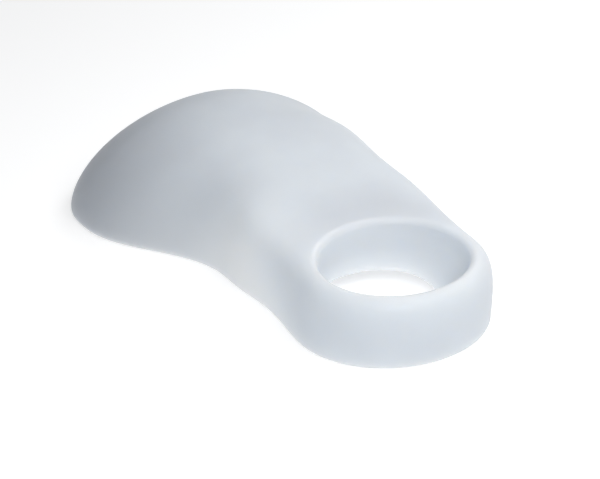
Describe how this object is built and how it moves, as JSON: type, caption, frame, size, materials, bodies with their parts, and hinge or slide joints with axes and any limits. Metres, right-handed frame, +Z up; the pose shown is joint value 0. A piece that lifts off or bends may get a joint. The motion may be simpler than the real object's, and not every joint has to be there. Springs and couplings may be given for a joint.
{
  "type": "bunion protector",
  "caption": "Soft gel bunion protector: a thin oval dome, hollow underneath, whose neck runs into a rounded toe loop with an upright hole",
  "frame": {"origin": "Middle of the part's box, on the plane that the foot of the toe loop and the rim of the shield rest on", "axes": "+X runs along the part towards the toe loop, -X towards the domed shield, +Y to the side that the shield leans away from, +Z up through the crown of the dome"},
  "size_m": [0.0922, 0.051, 0.0152],
  "materials": {
    "gel": "satin milky translucent silicone gel"
  },
  "bodies": {
    "root": {"gel_shield": "gel"}
  },
  "joints": []
}
